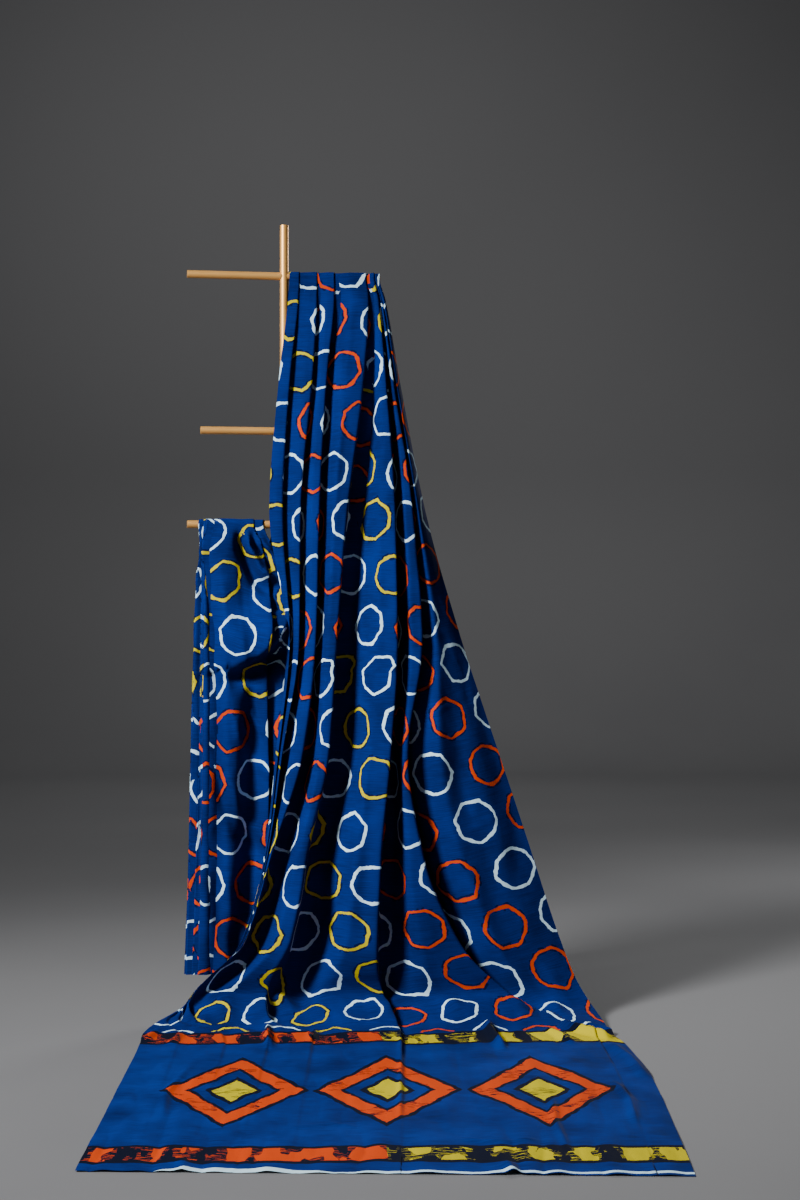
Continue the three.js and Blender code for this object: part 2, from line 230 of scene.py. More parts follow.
# A gap is a share of the way to the next ridge. None stands for what depends on the height.
FAN_PLEATS = (
    Pleat("edge", tuck=.04, gap=.14, foot=.04, crest_at=.5, crest=.28, ridge=.36),
    Pleat("thumb", tuck=.06, gap=.14, foot=.05, crest_at=.55, crest=.38, ridge=.50),
    Pleat("second", tuck=.07, gap=None, foot=.05, crest_at=.50, crest=.52, ridge=.64),
    Pleat("lead", tuck=None, gap=None, foot=.02, crest_at=.45, crest=.74, ridge=.78),
    Pleat("middle", tuck=.40, gap=None, foot=.10, crest_at=.50, crest=.86, ridge=1.00),
    Pleat("outer", tuck=.18, gap=.05, foot=.30, crest_at=.4, crest=.80, ridge=.84),
)
OWN_GAPS = {"lead": "lead_gap", "middle": "middle_gap"}     # in metres, in the table's columns
WIDEST_GAP = 0.45
HOLLOW = ((.04, .12), (.12, .30), (.42, .45), (.68, .30), (.90, .12))   # height, second gap

LEFT_EDGE_LIFT = 0.10        # lifts are shares of the section's depth
DROP_AT, DROP_LIFT = 0.15, 0.05      # behind the ridge: share of the gap, and over the foot
TURN_AT, TURN_LIFT = 0.30, -0.03     # where the tuck turns: share of the gap less its length
TURN_INSET = 0.01                    # and never nearer than this to the left edge
RIGHT_FACE = ((0.3, 0.70), (0.7, 0.46), (1.0, 0.20))        # share of the last face, lift


def gap_after(row, pleat, way):
    """How wide the valley after a pleat is, where way is the distance to the next ridge."""
    if pleat.column in OWN_GAPS:
        return min(getattr(row, OWN_GAPS[pleat.column]), way * WIDEST_GAP)
    return way * (np.interp(row.z, *zip(*HOLLOW)) if pleat.gap is None else pleat.gap)


def fan_corners(row, tuck, flatten):
    """The fan's section as corners (x, how far it stands out)."""
    depth = row.depth * flatten
    corners = [(row.left, depth * LEFT_EDGE_LIFT)]
    start = row.left
    following = [getattr(row, pleat.column) for pleat in FAN_PLEATS[1:]] + [row.right]
    for pleat, next_ridge in zip(FAN_PLEATS, following):
        ridge = getattr(row, pleat.column)
        gap = gap_after(row, pleat, next_ridge - ridge)
        hidden = tuck * (row.lead_tuck if pleat.tuck is None else pleat.tuck)
        turn_x = max(ridge + gap * TURN_AT - hidden, row.left + TURN_INSET)
        corners += [
            (start + (ridge - start) * pleat.crest_at, depth * pleat.crest),
            (ridge, depth * pleat.ridge),
            (ridge + gap * DROP_AT, depth * (pleat.foot + DROP_LIFT)),
            (turn_x, depth * TURN_LIFT),
            (ridge + gap, depth * pleat.foot),
        ]
        start = ridge + gap
    corners += [(start + (row.right - start) * at, depth * lift) for at, lift in RIGHT_FACE]
    return np.array(corners)


# ahead is a share of the way to the next column, or back to the last one where it is negative,
# tuck how much of the hidden cloth runs to the right there, and lift a share of the depth.
Corner = namedtuple("Corner", "column ahead tuck lift")
END_CORNERS = (
    Corner("left", .0, .95, .00),
    Corner("left", .0, .00, .05),
    Corner("left", .0, 1.05, .16),
    Corner("left", .10, .00, .40),
    Corner("left", .62, .72, .34),
    Corner("outside", .0, .00, .46),
    Corner("outside", .0, .60, .36),
    Corner("outside", .3, .00, .62),
    Corner("inside", -.3, .00, .70),
    Corner("inside", -.1, .00, .58),
    Corner("inside", .03, .00, .34),
    Corner("inside", .13, .00, .46),
    Corner("inside", .45, .00, .95),
    Corner("panel", -.12, .00, .85),
    Corner("panel", .0, .00, .70),
    Corner("panel", .3, .00, .62),
    Corner("cowl", -.2, .00, .90),
    Corner("cowl", .0, .00, .78),
    Corner("cowl", .1, -.70, .10),
    Corner("cowl", .3, .00, .20),
    Corner("right", .0, .00, .40),
    Corner("right", .0, -.85, .05),
    Corner("right", .0, -.10, .00),
)
END_ORDER = End._fields[End._fields.index("left"):]


def end_corners(row, tuck, flatten):
    """The short end's section as corners (x, how far it stands out)."""
    corners = []
    for corner in END_CORNERS:
        here = getattr(row, corner.column)
        place = END_ORDER.index(corner.column)
        beside = place - 1 if corner.ahead < 0 else min(place + 1, len(END_ORDER) - 1)
        step = abs(getattr(row, END_ORDER[beside]) - here) * corner.ahead
        share = row.stack if corner.tuck > 0 else 2 - row.stack
        x = here + step + tuck * share * corner.tuck
        corners.append((x, row.depth * flatten * corner.lift))
    return np.array(corners)


# %% Solve how much cloth a section hides
SLACK = 0.04                 # cloth that small waves take up, so that no tuck forms for it
MOST_TUCK = 4.0              # where the search for the tucks' size ends
HALVINGS = 24                # how often the search halves what is left


def solve_fold(row, corners_of, target):
    """Tucks in just so much cloth that the section is as long as target."""
    unfolded = run_of(corners_of(row, 0.0, 1.0))[-1]
    hidden = target - unfolded
    target = unfolded + hidden * fade_in((hidden - SLACK / 2) / SLACK)
    too_long = target < unfolded
    low, high = 0.0, 1.0 if too_long else MOST_TUCK
    for _ in range(HALVINGS):
        middle = (low + high) / 2
        tuck, flatten = (0.0, middle) if too_long else (middle, 1.0)
        corners = corners_of(row, tuck, flatten)
        if run_of(corners)[-1] < target:
            low = middle
        else:
            high = middle
    return corners


FINE = 1400                  # points on a section while its creases are rounded


def even_steps(points, count):
    run = run_of(points)
    at = np.linspace(0, run[-1], count)
    return np.stack([np.interp(at, run, points[:, axis]) for axis in (0, 1)], 1), run[-1]


def round_off(corners, radius):
    """The section's line with its creases rounded, at ACROSS even steps, and its length."""
    fine, run = even_steps(corners, FINE)
    reach = max(1, int(radius / run * FINE))
    for _ in range(2):
        before = 2 * fine[0] - fine[reach:0:-1]
        after = 2 * fine[-1] - fine[-2:-reach - 2:-1]
        total = np.cumsum(np.vstack([np.zeros(2), before, fine, after]), axis=0)
        window = 2 * reach + 1
        fine = (total[window:] - total[:-window]) / window
    return even_steps(fine, ACROSS + 1)


SHARPEST = 0.0012            # radius of a crease that is pressed on a bar


def drape(rows, corners_of, softness):
    """Points [along, across, xyz], their outward directions and the rows' distances.

    softness is how much a crease's radius grows for each metre that the folds stand out.
    """
    at, row_at_distance = smooth_columns(rows)
    stations = [at[0]]
    for start, stop in zip(at[:-1], at[1:]):
        count = max(1, round((stop - start) / STEP_ALONG))
        stations += list(np.linspace(start, stop, count + 1)[1:])
    grid, outward = [], []
    for s in stations:
        row = row_at_distance(s)
        radius = SHARPEST + softness * row.depth
        target = CLOTH_WIDTH
        for _ in range(2):                   # the second time makes up for what rounding off cuts
            line, run = round_off(solve_fold(row, corners_of, target), radius)
            target *= CLOTH_WIDTH / run
        left = np.array([row.left, row.left_y, row.z])
        along = np.array([row.right, row.right_y, row.z]) - left
        level = np.array([along[1], -along[0], 0.0])
        level /= np.linalg.norm(level)
        turn = math.radians(row.turn)
        out = level * math.cos(turn) + np.array([0, 0, math.sin(turn)])
        share = (line[:, 0] - row.left) / (row.right - row.left)
        grid.append(left + share[:, None] * along + (REST + line[:, 1:2]) * out)
        outward.append(np.repeat(out[None], ACROSS + 1, 0))
    return np.array(grid), np.array(outward), np.array(stations), at


fan_rows = (*PALLU, *FRONT_FALL, *over_top, *BACK_FALL)
fan_grid, fan_out, fan_s, fan_at = drape(fan_rows, fan_corners, softness=0.055)
end_rows = (*LOOP, *over_lower, *LEFT_FALL)
end_grid, end_out, end_s, end_at = drape(end_rows, end_corners, softness=0.080)
print("fan", fan_grid.shape, "short end", end_grid.shape)

# %% [markdown]
# ## Creases that the sections don't hold
#
# Cloth that was folded, carried and arranged has creases that cross its pleats: the swag under
# the lower bar, the press folds, the ruck where the fan meets the floor. Each is a line with a
# height and a width to either side of it, and pushes the cloth out along the section's own
# direction. `height` in the points is measured up from the floor; on the floor it is minus the
# distance in front of the fan's foot.

# %% Creases, one by one
FOOT_Y = -0.20               # where the fan's foot meets the floor
Crease = namedtuple("Crease", "out left_side right_side points")
FAN_CREASES = (
    # the foot of the fan: the lit ridge and the hollow to its right, and the roll over the floor
    Crease(.016, .018, .030, ((.064, .380), (.046, .220), (.010, .090), (-.012, .040))),
    Crease(-.030, .026, .034, ((.120, .330), (.090, .190), (.060, .085), (.030, .030))),
    Crease(.014, .016, .012, ((-.215, .060), (-.120, .052), (-.020, .046), (.060, .040))),
    Crease(-.010, .010, .012, ((-.190, .022), (-.090, .016), (.020, .014))),
    # long soft folds down the broad faces
    Crease(.009, .022, .022, ((.205, 1.18), (.192, .90), (.186, .65), (.165, .42))),
    Crease(-.007, .020, .020, ((.238, .95), (.236, .70), (.226, .50), (.200, .22))),
    Crease(.005, .034, .038, ((.350, 1.02), (.395, .70), (.455, .40), (.540, .14))),
    Crease(-.004, .030, .030, ((.410, .88), (.465, .60), (.525, .35), (.600, .15))),
    Crease(.004, .028, .032, ((.470, .78), (.535, .50), (.620, .25), (.700, .08))),
    Crease(-.006, .014, .014, ((.235, 1.60), (.240, 1.40), (.250, 1.20))),
    Crease(.006, .012, .016, ((.150, 1.75), (.140, 1.50), (.125, 1.32))),
    # press folds across the right face
    Crease(.0016, .005, .006, ((.330, .770), (.400, .790), (.470, .830))),
    Crease(.0018, .005, .007, ((.360, .460), (.480, .485), (.580, .530))),
    Crease(.0014, .006, .005, ((.310, .960), (.370, .975), (.430, .990))),
    # rucks where the fan breaks on the floor
    Crease(.012, .012, .014, ((.210, .062), (.270, .045), (.335, .055))),
    Crease(.009, .010, .012, ((.130, .030), (.220, .016), (.310, .026))),
    Crease(.010, .012, .012, ((.390, .055), (.470, .035), (.560, .060))),
    Crease(.008, .010, .012, ((.590, .040), (.650, .022), (.710, .040))),
    Crease(.007, .009, .010, ((-.16, .016), (-.08, .006), (.00, .012))),
    # across the rear stripe
    Crease(.018, .011, .009, ((-.030, -.010), (-.022, -.110), (-.010, -.220))),
    Crease(.009, .010, .012, ((.088, -.020), (.085, -.150))),
    Crease(.020, .010, .012, ((.515, .010), (.527, -.100), (.545, -.240))),
    Crease(.022, .012, .010, ((.690, -.010), (.740, -.060), (.810, -.130))),
    Crease(.014, .010, .012, ((.735, .010), (.790, -.030), (.835, -.070))),
    Crease(.012, .010, .010, ((.660, -.040), (.690, -.110), (.715, -.180))),
    Crease(.008, .012, .014, ((-.290, -.010), (-.305, -.070), (-.320, -.140))),
    Crease(.005, .010, .010, ((-.235, -.040), (-.250, -.190))),
    # press folds and small waves of the part on the floor
    Crease(.0050, .006, .007, ((.302, -.020), (.303, -.400), (.300, -.870))),
    Crease(.0060, .008, .009, ((.625, -.700), (.618, -.900), (.626, -1.090))),
    Crease(.0085, .012, .010, ((.770, -.560), (.790, -.720), (.780, -.900))),
    Crease(.0120, .014, .016, ((.800, -.180), (.835, -.340), (.850, -.520))),
    Crease(.0060, .009, .012, ((-.180, -.420), (-.205, -.640), (-.190, -.860))),
    Crease(.0060, .010, .010, ((.420, -1.020), (.500, -1.050), (.570, -1.030))),
    Crease(.0030, .008, .010, ((.080, -.930), (.160, -.900), (.215, -.930))),
    Crease(.0040, .012, .012, ((-.120, -1.160), (-.105, -1.230), (-.125, -1.300))),
    Crease(.0085, .014, .012, ((.500, -1.190), (.520, -1.300))),
)
END_CREASES = (
    # the bunch at the bar's right and the fold that falls from it
    Crease(-.030, .018, .010, ((-.120, 1.262), (-.108, 1.195), (-.072, 1.116), (-.026, 1.080))),
    Crease(.026, .009, .010, ((-.098, 1.262), (-.088, 1.205), (-.058, 1.150), (-.020, 1.120))),
    Crease(-.014, .008, .008, ((-.085, 1.262), (-.074, 1.215), (-.045, 1.175))),
    Crease(.014, .009, .009, ((-.066, 1.262), (-.055, 1.220), (-.030, 1.195))),
    # the swag: it stands well out over its rim and drops in sharply under it
    Crease(.060, .012, .090, ((.012, 1.030), (-.018, .965), (-.070, .925), (-.130, .905))),
    Crease(-.030, .026, .014, ((.010, .968), (-.030, .925), (-.080, .887), (-.140, .868))),
    # the next one down, softer, and the lowest
    Crease(.012, .012, .030, ((.004, .600), (-.060, .640), (-.110, .720), (-.125, .790))),
    Crease(-.012, .020, .016, ((-.167, .630), (-.149, .545), (-.115, .465), (-.020, .392))),
    Crease(.012, .018, .020, ((-.140, .640), (-.118, .560), (-.088, .495), (.002, .425))),
    Crease(-.010, .020, .020, ((-.176, .380), (-.158, .255), (-.112, .180), (-.030, .160))),
    Crease(.009, .020, .024, ((-.150, .380), (-.130, .280), (-.090, .215), (-.010, .200))),
    Crease(.009, .007, .009, ((-.084, .790), (-.066, .755), (-.044, .722))),
    # the wide hollow under the swag, with a short bank at its right
    Crease(-.040, .044, .022, ((-.080, .850), (-.084, .640), (-.092, .400), (-.112, .160),
                               (-.124, .110))),
    Crease(.008, .020, .030, ((-.176, .840), (-.182, .600), (-.186, .360), (-.190, .120))),
    # along the stacked edges
    Crease(-.005, .006, .006, ((-.206, 1.16), (-.212, .90), (-.210, .60), (-.216, .30))),
)
BACK_CREASES = (
    Crease(.008, .016, .018, ((.180, 1.78), (.150, 1.50), (.090, 1.25), (.020, 1.10))),
    Crease(-.006, .014, .014, ((.120, 1.80), (.090, 1.55), (.050, 1.30))),
    Crease(.007, .020, .016, ((-.150, 1.17), (-.110, 1.09), (-.060, 1.03))),
    Crease(-.006, .018, .018, ((-.110, 1.19), (-.080, 1.12), (-.030, 1.06))),
)
print("creases:", len(FAN_CREASES) + len(END_CREASES) + len(BACK_CREASES))

# %% Push the creases and small waves in
TAPER = 0.22                 # share of a crease's length over which it fades at either end
FAINTEST = 0.15              # what is left of it at its ends


def crease_push(x, height, creases):
    """How far the creases push each point out."""
    push = np.zeros_like(x)
    for crease in creases:
        best = np.full(x.shape, np.inf)
        own = np.zeros_like(x)
        points = np.array(crease.points)
        legs = np.linalg.norm(np.diff(points, axis=0), axis=1)
        run, before = legs.sum(), 0.0
        for start, stop, leg in zip(points[:-1], points[1:], legs):
            way = (stop - start) / leg
            dx, dh = x - start[0], height - start[1]
            along = np.clip(dx * way[0] + dh * way[1], 0, leg)
            off = np.hypot(dx - along * way[0], dh - along * way[1])
            left = way[0] * dh - way[1] * dx > 0
            width = np.where(left, crease.left_side, crease.right_side)
            share = (before + along) / run
            taper = np.clip(np.minimum(share, 1 - share) / TAPER, 0, 1)
            strength = FAINTEST + (1 - FAINTEST) * taper * (2 - taper)
            value = crease.out * np.exp(-(off / width) ** 2) * strength
            nearer = off < best
            own = np.where(nearer, value, own)
            best = np.where(nearer, off, best)
            before += leg
        push += own
    return push


LATTICE = 64                 # random values each way before they repeat


def soft_noise(u, v, seed):
    """Smooth random values between -1 and 1, one bend for each unit of u and v."""
    values = np.random.default_rng(seed).uniform(-1, 1, (LATTICE, LATTICE))
    iu, iv = np.floor(u).astype(int), np.floor(v).astype(int)
    fu, fv = ease(u - iu), ease(v - iv)

    def corner(a, b):
        return values[(iu + a) % LATTICE, (iv + b) % LATTICE]

    low = corner(0, 0) * (1 - fu) + corner(1, 0) * fu
    high = corner(0, 1) * (1 - fu) + corner(1, 1) * fu
    return low * (1 - fv) + high * fv


Wave = namedtuple("Wave", "out across along")
CLOTH_WAVES = (Wave(.0022, .045, .16), Wave(.0012, .020, .07))   # these run with the threads
ROOM_WAVE = Wave(.0050, .050, .38)                               # moves every layer alike
FLOOR_ZONE = 0.03            # up to here the floor turns the waves upwards
FLOOR_SHARE = 0.8            # how much of a wave is left on the floor
BAR_GRIP, BAR_ZONE = 0.006, 0.05     # how far under a bar waves begin, and fade in


def unsettle(grid, outward, creases, bar_height, front, seed):
    """Pushes a stretch's creases and small waves into its points; nothing moves on the bar."""
    x, z = grid[..., 0], grid[..., 2]
    height = z + np.minimum(0.0, grid[..., 1] - FOOT_Y)
    flat_u = np.broadcast_to(np.linspace(0, CLOTH_WIDTH, grid.shape[1]), height.shape)
    flat_v = np.broadcast_to(np.arange(len(grid))[:, None] * STEP_ALONG, height.shape)
    waves = np.zeros_like(height)
    for k, wave in enumerate((*CLOTH_WAVES, ROOM_WAVE)):
        u, v = (x, height) if wave is ROOM_WAVE else (flat_u, flat_v)
        waves += wave.out * soft_noise(u / wave.across, v / wave.along, seed + k)
    on_floor = fade_in((FLOOR_ZONE - z) / FLOOR_ZONE)
    waves = waves * (1 - on_floor) + np.abs(waves) * FLOOR_SHARE * on_floor
    off_bar = fade_in((bar_height - BAR_GRIP - z) / BAR_ZONE)
    push = (crease_push(x, height, creases) + waves) * off_bar * front
    grid = grid + push[..., None] * outward
    grid[..., 2] = np.maximum(grid[..., 2], REST)
    return grid


def row_at(stations, distance):
    """Number of the section that lies nearest to a distance along the drape."""
    return int(np.argmin(np.abs(stations - distance)))


# Sections at which one stretch ends and the next begins.
pallu_end = row_at(fan_s, fan_at[len(PALLU) - 1])
stripe_row = row_at(fan_s, fan_at[len(PALLU)])
bar_row = row_at(fan_s, fan_at[len(PALLU) + len(FRONT_FALL)])
turn_row = row_at(fan_s, fan_at[len(PALLU) + len(FRONT_FALL) + len(over_top)])
lower_start = row_at(end_s, end_at[len(LOOP)])
lower_end = row_at(end_s, end_at[len(LOOP) + len(over_lower) - 1])

in_front = (np.arange(len(fan_grid)) <= bar_row)[:, None]
fan_grid = unsettle(fan_grid, fan_out, FAN_CREASES, TOP_BAR_HEIGHT, in_front, 3)
fan_grid = unsettle(fan_grid, fan_out, BACK_CREASES, TOP_BAR_HEIGHT, ~in_front, 5)
in_front = (np.arange(len(end_grid)) >= lower_start)[:, None]
end_grid = unsettle(end_grid, end_out, END_CREASES, LOWER_BAR_HEIGHT, in_front, 7)
end_grid = unsettle(end_grid, end_out, BACK_CREASES, LOWER_BAR_HEIGHT, ~in_front, 9)
print("last sections:", pallu_end, bar_row, turn_row, lower_start, lower_end)

# %% [markdown]
# ## Where the print lies
#
# The print was on the cloth before it was draped, so each point needs its place on the flat
# cloth: across it, and along it. Across is simple, because a section's points are evenly spaced
# from selvedge to selvedge. Along it isn't, because the sections are level while the threads
# lean: weft and warp have to stay at right angles. So the heights are solved on a coarse grid:
# each step along a thread adds its length, and each step across adds only as much as it leans.

# %% Measure along the cloth
ROWS_APART, COLUMNS_APART = 9, 10    # of the coarse grid, in sections and in points across
WEFT_STEP = 0.042            # metres between columns, for the weft's weight against the warp's
HELD_FAST = 1e6              # weight of the fixed row


def coarse_lines(count, step):
    """Every step-th number from 0, and the last one."""
    return list(range(0, count - 1, step)) + [count - 1]


def measure_along(grid, fixed_row, fixed_value, weight):
    """Height of each point on the flat cloth, with one row held at a value."""
    rows = sorted(set(coarse_lines(len(grid), ROWS_APART)) | {fixed_row})
    columns = coarse_lines(grid.shape[1], COLUMNS_APART)
    steps = np.linalg.norm(np.diff(grid, axis=0), axis=2)
    run = np.vstack([np.zeros((1, grid.shape[1])), np.cumsum(steps, axis=0)])
    warp = np.gradient(grid, axis=0)
    warp /= np.linalg.norm(warp, axis=2, keepdims=True)
    weft = np.diff(grid, axis=1)
    lean = np.sum(weft * (warp[:, 1:] + warp[:, :-1]) / 2, axis=2)
    lean = np.hstack([np.zeros((len(grid), 1)), np.cumsum(lean, axis=1)])

    wide = len(columns)
    count = len(rows) * wide
    normal = np.zeros((count, count))
    right_side = np.zeros(count)

    def relate(a, b, difference, strength):
        normal[a, a] += strength
        normal[b, b] += strength
        normal[a, b] -= strength
        normal[b, a] -= strength
        right_side[a] -= strength * difference
        right_side[b] += strength * difference

    for i, row in enumerate(rows):
        for j, column in enumerate(columns):
            here = i * wide + j
            if i + 1 < len(rows):
                rise = run[rows[i + 1], column] - run[row, column]
                relate(here, here + wide, rise, 1 / rise)
            if j + 1 < wide:
                slant = lean[row, columns[j + 1]] - lean[row, column]
                relate(here, here + 1, slant, weight / WEFT_STEP)
            if row == fixed_row:
                normal[here, here] += HELD_FAST
                right_side[here] += HELD_FAST * fixed_value
    coarse = np.linalg.solve(normal, right_side).reshape(len(rows), wide)
    full = np.array([np.interp(np.arange(grid.shape[1]), columns, line) for line in coarse])
    return np.array([np.interp(np.arange(len(grid)), rows, line) for line in full.T]).T


fan_v = measure_along(fan_grid, stripe_row, 0.0, weight=0.35)
end_v = measure_along(end_grid, 0, float(np.mean(fan_v[-1])), weight=0.8)
print("stripe to bar", round(float(np.mean(fan_v[bar_row])), 3), "m")
print("whole cut", round(float(end_v[-1].mean() - fan_v[0].mean()), 2), "m")

# %% Pieces of the cloth, one for each stretch
def new_object(name, data):
    """An object that holds the data, linked to the scene."""
    made = bpy.data.objects.new(name, data)
    bpy.context.scene.collection.objects.link(made)
    return made


def cloth_piece(name, grid, along, flip, first, last):
    """A mesh of rows of the grid, with the place on the flat cloth as its UV map, in metres."""
    points = grid[first:last + 1]
    places = along[first:last + 1]
    count, width = points.shape[:2]
    mesh = bpy.data.meshes.new(name)
    corner = np.arange((count - 1) * width).reshape(count - 1, width)[:, :-1].ravel()
    faces = np.stack([corner, corner + 1, corner + width + 1, corner + width], 1)
    if flip:
        faces = faces[:, ::-1]
    mesh.from_pydata(points.reshape(-1, 3).tolist(), [], faces.tolist())
    across = np.linspace(0, CLOTH_WIDTH, width)
    uv = np.stack([np.repeat(across[None], count, 0), places], 2).reshape(-1, 2)
    layer = mesh.uv_layers.new(name="cloth")
    layer.data.foreach_set("uv", uv[faces.ravel()].astype(np.float32).ravel())
    mesh.shade_smooth()
    print(name, len(mesh.polygons), "faces")
    return new_object(name, mesh)


# Points, places along the cloth, and whether the faces have to be turned to point outwards.
FAN_CLOTH, END_CLOTH = (fan_grid, fan_v, False), (end_grid, end_v, True)
Stretch = namedtuple("Stretch", "node side first last held rests_on")
STRETCHES = (
    Stretch("pallu", FAN_CLOTH, 0, pallu_end, "laid", []),
    Stretch("front_fall", FAN_CLOTH, pallu_end, bar_row, "gathered", ["top_bar_right"]),
    Stretch("top_turn", FAN_CLOTH, bar_row, turn_row, "gathered", ["top_bar_right"]),
    Stretch("back_fall", FAN_CLOTH, turn_row, len(fan_grid) - 1, "hung", ["top_bar_right"]),
    Stretch("loop", END_CLOTH, 0, lower_start, "hung", ["lower_bar_left"]),
    Stretch("lower_turn", END_CLOTH, lower_start, lower_end, "gathered", ["lower_bar_left"]),
    Stretch("left_fall", END_CLOTH, lower_end, len(end_grid) - 1, "hung", ["lower_bar_left"]),
)
pieces = {one.node: cloth_piece(f"saree_{one.node}", *one.side, one.first, one.last)
          for one in STRETCHES}

# %% [markdown]
# ## The print
#
# The cloth is hand-printed: a stamp for each ring, a brush for the stripes. A shader can hold the
# whole of it, because every mark is a rule on the flat cloth. The nearest ring is found by
# rounding, and each ring gets its own small faults from its column and row.

# %% A short way to write node graphs
def linear(red, green, blue):
    """A colour given as on a colour card, 0 to 255, in the renderer's linear values."""
    return tuple(((part / 255 + 0.055) / 1.055) ** 2.4 if part > 10 else part / 3294.6
                 for part in (red, green, blue)) + (1.0,)


class Graph:
    """Makes a material's nodes. The short calls give back the socket that holds their result."""

    def __init__(self, name):
        self.material = bpy.data.materials.new(name)
        self.material.use_nodes = True
        self.nodes = self.material.node_tree.nodes
        self.links = self.material.node_tree.links
        self.shader = self.nodes["Principled BSDF"]

    def put(self, socket, value):
        if isinstance(value, bpy.types.NodeSocket):
            self.links.new(value, socket)
        else:
            socket.default_value = value

    def node(self, kind, inputs=(), **settings):
        made = self.nodes.new(kind)
        for name, value in settings.items():
            setattr(made, name, value)
        for name, value in dict(inputs).items():
            self.put(made.inputs[name], value)
        return made

    def math(self, operation, *values):
        return self.node("ShaderNodeMath", enumerate(values), operation=operation).outputs[0]

    def add(self, a, b):
        return self.math("ADD", a, b)

    def minus(self, a, b):
        return self.math("SUBTRACT", a, b)

    def times(self, a, b):
        return self.math("MULTIPLY", a, b)

    def over(self, a, b):
        return self.math("DIVIDE", a, b)

    def less(self, a, b):
        return self.math("LESS_THAN", a, b)

    def both(self, a, b):
        return self.math("MINIMUM", a, b)

    def either(self, a, b):
        return self.math("MAXIMUM", a, b)

    def between(self, low, value, high):
        return self.both(self.less(low, value), self.less(value, high))

    def spread(self, chance, width):
        """A value from 0 to 1 as one that lies around 0, over the width."""
        return self.times(self.minus(chance, 0.5), width)

    def fade(self, value, start, stop):
        """0 up to start and 1 from stop on, or the other way round."""
        inputs = {"Value": value, "From Min": start, "From Max": stop}
        return self.node("ShaderNodeMapRange", inputs, interpolation_type="SMOOTHSTEP").outputs[0]

    def vector(self, x, y, z=0.0):
        return self.node("ShaderNodeCombineXYZ", {"X": x, "Y": y, "Z": z}).outputs[0]

    def noise(self, place, scale=1.0, detail=2.0, roughness=0.5):
        inputs = {"Vector": place, "Scale": scale, "Detail": detail, "Roughness": roughness}
        return self.node("ShaderNodeTexNoise", inputs).outputs[0]

    def blend(self, share, a, b):
        mix = self.node("ShaderNodeMix", data_type="RGBA")
        self.put(mix.inputs[0], share)
        self.put(mix.inputs[6], a)
        self.put(mix.inputs[7], b)
        return mix.outputs[2]

    def bump(self, height, strength):
        inputs = {"Height": height, "Distance": 1.0, "Strength": strength}
        return self.node("ShaderNodeBump", inputs).outputs[0]

    def finish(self, **inputs):
        for name, value in inputs.items():
            self.put(self.shader.inputs[name.replace("_", " ").title()], value)
        return self.material


# %% Colours of the print
COBALT = linear(2, 38, 118)
PAINTED_LIGHT_BLUE = linear(3, 49, 134)      # painted light: a lighter blue for the end on the floor, standing for the light that falls on it
DEEP_BLUE = linear(1, 20, 72)        # where the dye is thick
INK = linear(8, 14, 34)
WHITE = linear(204, 238, 255)
YELLOW = linear(196, 180, 0)
ORANGE = linear(204, 64, 1)

# %% The rings
RING_HALF_WIDTH = 0.0465
RING_HALF_HEIGHT = 0.0510
RING_STRAY = 0.009           # how far rings stray from their places, from one side to the other
SIDES, MORE_SIDES = 6, 1.4   # a ring is cut with six to seven rounded corners
ANY_TURN = 6.3               # a whole turn, in radians
STRAIGHT, ROUND = 0.55, 0.46         # shares of the straight-sided and the round outline
WOBBLE, WOBBLES = 0.26, 38.0         # how far the hand strays, and how often in a metre
LEAST_SIZE, MORE_SIZE = 0.97, 0.06
STROKE = 0.0070
LEAST_STROKE, MORE_STROKE = 0.55, 0.95
INK_EDGE = 0.0052            # how far the dark outline stands out beside a stroke
SOFT_EDGE = 0.0004           # how far a stroke's edge fades, to either side

LOWEST_ROW = 0.015           # how far the lowest row's middle lies under the stripe's edge
RING_PHASE = 0.66            # how far the rings stand off the selvedge, in pitches
YELLOW_EDGE = 0.12           # up to here from the left selvedge the rings stay yellow
UPPER_ORANGE = 0.42          # and from there to here they are orange in the upper rows,
UPPER_ROWS = 0.75            # which begin this far up
RING_CHANGE = 0.66           # where yellow rings give way to orange ones across the cloth
SHORT_END = 2.9              # from here on the rows belong to the short end
SHORT_END_CHANGE = 4.07      # where yellow gives way to orange there


def ring_outline(g, side, below, place, chance):
    """How far a point is from its ring's uneven outline, in metres."""
    first, second, third = chance
    across = g.over(side, RING_HALF_WIDTH)
    along = g.over(below, RING_HALF_HEIGHT)
    reach = g.math("SQRT", g.add(g.times(across, across), g.times(along, along)))
    angle = g.math("ARCTAN2", along, across)
    corner = g.over(2 * math.pi, g.add(SIDES, g.math("ROUND", g.times(third, MORE_SIDES))))
    half = g.times(corner, 0.5)
    turned = g.math("FLOORED_MODULO", g.add(angle, g.times(first, ANY_TURN)), corner)
    straight = g.over(g.math("COSINE", half), g.math("COSINE", g.minus(turned, half)))
    wobble = g.spread(g.noise(place, WOBBLES, 3.0), WOBBLE)
    outline = g.add(g.add(g.times(straight, STRAIGHT), ROUND), wobble)
    size = g.add(LEAST_SIZE, g.times(second, MORE_SIZE))
    off = g.math("ABSOLUTE", g.minus(reach, g.times(outline, size)))
    return g.times(off, (RING_HALF_WIDTH + RING_HALF_HEIGHT) / 2)


